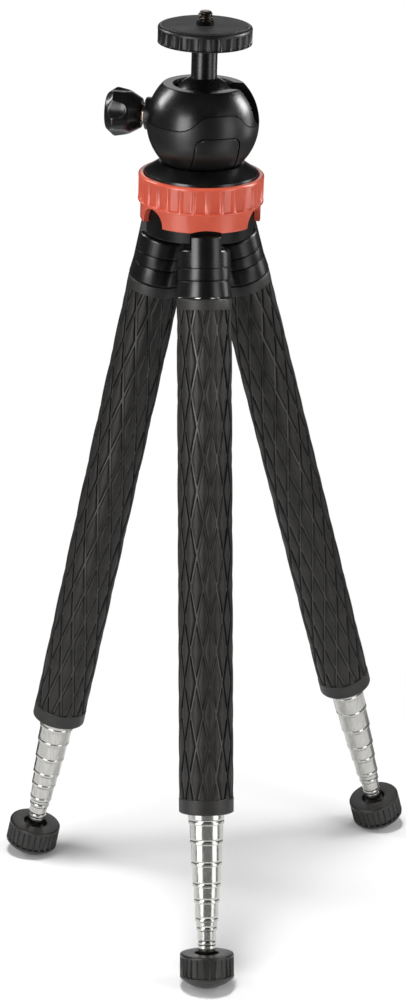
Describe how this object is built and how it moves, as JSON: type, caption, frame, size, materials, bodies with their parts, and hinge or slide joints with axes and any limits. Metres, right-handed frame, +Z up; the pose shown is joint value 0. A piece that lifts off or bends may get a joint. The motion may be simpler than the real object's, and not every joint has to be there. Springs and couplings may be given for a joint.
{
  "type": "travel tripod",
  "caption": "Travel tripod with a lockable ball head, a turning spreader ring, hinged legs in rubber grips and telescoping tubes down to domed rubber feet.",
  "frame": {"origin": "on the floor, below the middle of the box that the three feet span at rest; the head's axis stands beside it, because the legs stand at slightly different spreads", "axes": "+Z up along the head's axis and the camera stud, -Y towards the front leg, +X to the right as seen from the front leg"},
  "size_m": [0.1887, 0.1807, 0.4052],
  "materials": {
    "satin_black_alloy": "satin black coat",
    "gloss_black_plastic": "semi-gloss",
    "black_plastic": "fine matte",
    "coral_red_plastic": "satin moulded",
    "black_rubber": "matte moulded",
    "pad_rubber": "fine matte",
    "bright_aluminium": "bright drawn tube",
    "steel": "plain turned",
    "dark_steel": "blackened",
    "brass": "turned",
    "white_nylon": "plain"
  },
  "bodies": {
    "hub": {"leg_hub": "black_plastic", "hinge_pins": "steel", "plate_screws": "steel", "base_plate": "satin_black_alloy", "head_stud": "steel"},
    "ring": {"spreader_ring": "coral_red_plastic"},
    "head": {"lower_housing": "satin_black_alloy", "upper_housing": "satin_black_alloy", "front_panel": "satin_black_alloy", "lock_nut": "satin_black_alloy", "lock_shoe": "white_nylon"},
    "knob": {"lock_knob": "gloss_black_plastic", "lock_screw": "steel", "knob_insert": "brass"},
    "cup": {"ball_cup": "white_nylon"},
    "ball": {"ball_stem": "satin_black_alloy", "camera_stud": "dark_steel"},
    "wheel": {"camera_wheel": "satin_black_alloy", "wheel_pad": "pad_rubber"},
    "front_leg": {"front_knuckle": "satin_black_alloy", "front_outer_tube": "bright_aluminium", "front_grip": "black_rubber", "front_end_cap": "black_rubber"},
    "front_section_1": {"front_section_1": "bright_aluminium"},
    "front_section_2": {"front_section_2": "bright_aluminium"},
    "front_section_3": {"front_section_3": "bright_aluminium"},
    "front_section_4": {"front_section_4": "bright_aluminium"},
    "front_section_5": {"front_section_5": "bright_aluminium"},
    "front_section_6": {"front_section_6": "bright_aluminium"},
    "front_section_7": {"front_section_7": "bright_aluminium", "front_foot_stub": "steel"},
    "front_foot": {"front_foot": "black_rubber"},
    "right_leg": {"right_knuckle": "satin_black_alloy", "right_outer_tube": "bright_aluminium", "right_grip": "black_rubber", "right_end_cap": "black_rubber"},
    "right_section_1": {"right_section_1": "bright_aluminium"},
    "right_section_2": {"right_section_2": "bright_aluminium"},
    "right_section_3": {"right_section_3": "bright_aluminium"},
    "right_section_4": {"right_section_4": "bright_aluminium"},
    "right_section_5": {"right_section_5": "bright_aluminium"},
    "right_section_6": {"right_section_6": "bright_aluminium"},
    "right_section_7": {"right_section_7": "bright_aluminium", "right_foot_stub": "steel"},
    "right_foot": {"right_foot": "black_rubber"},
    "left_leg": {"left_knuckle": "satin_black_alloy", "left_outer_tube": "bright_aluminium", "left_grip": "black_rubber", "left_end_cap": "black_rubber"},
    "left_section_1": {"left_section_1": "bright_aluminium"},
    "left_section_2": {"left_section_2": "bright_aluminium"},
    "left_section_3": {"left_section_3": "bright_aluminium"},
    "left_section_4": {"left_section_4": "bright_aluminium"},
    "left_section_5": {"left_section_5": "bright_aluminium"},
    "left_section_6": {"left_section_6": "bright_aluminium"},
    "left_section_7": {"left_section_7": "bright_aluminium", "left_foot_stub": "steel"},
    "left_foot": {"left_foot": "black_rubber"}
  },
  "joints": [
    {"name": "ring_turn", "type": "hinge", "parent": "hub", "child": "ring", "pos_m": [-0.01576, 0.02087, 0.31658], "axis": [0, 0, 1], "range_deg": [0, 60]},
    {"name": "head_turn", "type": "hinge", "parent": "hub", "child": "head", "pos_m": [-0.01576, 0.02087, 0.34048], "axis": [0, 0, 1], "continuous": true},
    {"name": "ball_spin", "type": "hinge", "parent": "head", "child": "cup", "pos_m": [-0.01576, 0.02087, 0.36378], "axis": [0, 0, 1], "range_deg": [-360, 0]},
    {"name": "ball_tilt", "type": "hinge", "parent": "cup", "child": "ball", "pos_m": [-0.01576, 0.02087, 0.36378], "axis": [0.2756, 0.9613, 0], "range_deg": [-28, 90]},
    {"name": "wheel_turn", "type": "hinge", "parent": "ball", "child": "wheel", "pos_m": [-0.01576, 0.02087, 0.39158], "axis": [0, 0, 1], "continuous": true},
    {"name": "knob_turn", "type": "hinge", "parent": "head", "child": "knob", "pos_m": [-0.04076, 0.02804, 0.35948], "axis": [-0.9613, 0.2756, 0], "range_deg": [0, 360]},
    {"name": "front_leg_spread", "type": "hinge", "parent": "hub", "child": "front_leg", "pos_m": [-0.01576, 0.00687, 0.31658], "axis": [-1, 0, 0], "range_deg": [-15.5, 3]},
    {"name": "front_section_1_slide", "type": "slide", "parent": "front_leg", "child": "front_section_1", "axis": [0, -0.2672, -0.9636], "range_m": [0, 0.075]},
    {"name": "front_section_2_slide", "type": "slide", "parent": "front_section_1", "child": "front_section_2", "axis": [0, -0.2672, -0.9636], "range_m": [0, 0.075]},
    {"name": "front_section_3_slide", "type": "slide", "parent": "front_section_2", "child": "front_section_3", "axis": [0, -0.2672, -0.9636], "range_m": [0, 0.075]},
    {"name": "front_section_4_slide", "type": "slide", "parent": "front_section_3", "child": "front_section_4", "axis": [0, -0.2672, -0.9636], "range_m": [0, 0.075]},
    {"name": "front_section_5_slide", "type": "slide", "parent": "front_section_4", "child": "front_section_5", "axis": [0, -0.2672, -0.9636], "range_m": [0, 0.075]},
    {"name": "front_section_6_slide", "type": "slide", "parent": "front_section_5", "child": "front_section_6", "axis": [0, -0.2672, -0.9636], "range_m": [0, 0.075]},
    {"name": "front_section_7_slide", "type": "slide", "parent": "front_section_6", "child": "front_section_7", "axis": [0, -0.2672, -0.9636], "range_m": [0, 0.075]},
    {"name": "right_leg_spread", "type": "hinge", "parent": "hub", "child": "right_leg", "pos_m": [-0.00364, 0.02787, 0.31658], "axis": [0.5, -0.866, 0], "range_deg": [-17.9, 0.6]},
    {"name": "right_section_1_slide", "type": "slide", "parent": "right_leg", "child": "right_section_1", "axis": [0.2662, 0.1537, -0.9516], "range_m": [0, 0.075]},
    {"name": "right_section_2_slide", "type": "slide", "parent": "right_section_1", "child": "right_section_2", "axis": [0.2662, 0.1537, -0.9516], "range_m": [0, 0.075]},
    {"name": "right_section_3_slide", "type": "slide", "parent": "right_section_2", "child": "right_section_3", "axis": [0.2662, 0.1537, -0.9516], "range_m": [0, 0.075]},
    {"name": "right_section_4_slide", "type": "slide", "parent": "right_section_3", "child": "right_section_4", "axis": [0.2662, 0.1537, -0.9516], "range_m": [0, 0.075]},
    {"name": "right_section_5_slide", "type": "slide", "parent": "right_section_4", "child": "right_section_5", "axis": [0.2662, 0.1537, -0.9516], "range_m": [0, 0.075]},
    {"name": "right_section_6_slide", "type": "slide", "parent": "right_section_5", "child": "right_section_6", "axis": [0.2662, 0.1537, -0.9516], "range_m": [0, 0.075]},
    {"name": "right_section_7_slide", "type": "slide", "parent": "right_section_6", "child": "right_section_7", "axis": [0.2662, 0.1537, -0.9516], "range_m": [0, 0.075]},
    {"name": "left_leg_spread", "type": "hinge", "parent": "hub", "child": "left_leg", "pos_m": [-0.02789, 0.02787, 0.31658], "axis": [0.5, 0.866, 0], "range_deg": [-11.4, 7.1]},
    {"name": "left_section_1_slide", "type": "slide", "parent": "left_leg", "child": "left_section_1", "axis": [-0.1712, 0.0988, -0.9803], "range_m": [0, 0.075]},
    {"name": "left_section_2_slide", "type": "slide", "parent": "left_section_1", "child": "left_section_2", "axis": [-0.1712, 0.0988, -0.9803], "range_m": [0, 0.075]},
    {"name": "left_section_3_slide", "type": "slide", "parent": "left_section_2", "child": "left_section_3", "axis": [-0.1712, 0.0988, -0.9803], "range_m": [0, 0.075]},
    {"name": "left_section_4_slide", "type": "slide", "parent": "left_section_3", "child": "left_section_4", "axis": [-0.1712, 0.0988, -0.9803], "range_m": [0, 0.075]},
    {"name": "left_section_5_slide", "type": "slide", "parent": "left_section_4", "child": "left_section_5", "axis": [-0.1712, 0.0988, -0.9803], "range_m": [0, 0.075]},
    {"name": "left_section_6_slide", "type": "slide", "parent": "left_section_5", "child": "left_section_6", "axis": [-0.1712, 0.0988, -0.9803], "range_m": [0, 0.075]},
    {"name": "left_section_7_slide", "type": "slide", "parent": "left_section_6", "child": "left_section_7", "axis": [-0.1712, 0.0988, -0.9803], "range_m": [0, 0.075]},
    {"name": "front_foot_turn", "type": "hinge", "parent": "front_section_7", "child": "front_foot", "pos_m": [-0.01576, -0.07677, 0.01496], "axis": [0, -0.2672, -0.9636], "continuous": true},
    {"name": "right_foot_turn", "type": "hinge", "parent": "right_section_7", "child": "right_foot", "pos_m": [0.08072, 0.07658, 0.01498], "axis": [0.2662, 0.1537, -0.9516], "continuous": true},
    {"name": "left_foot_turn", "type": "hinge", "parent": "left_section_7", "child": "left_foot", "pos_m": [-0.08056, 0.05828, 0.01493], "axis": [-0.1712, 0.0988, -0.9803], "continuous": true}
  ]
}
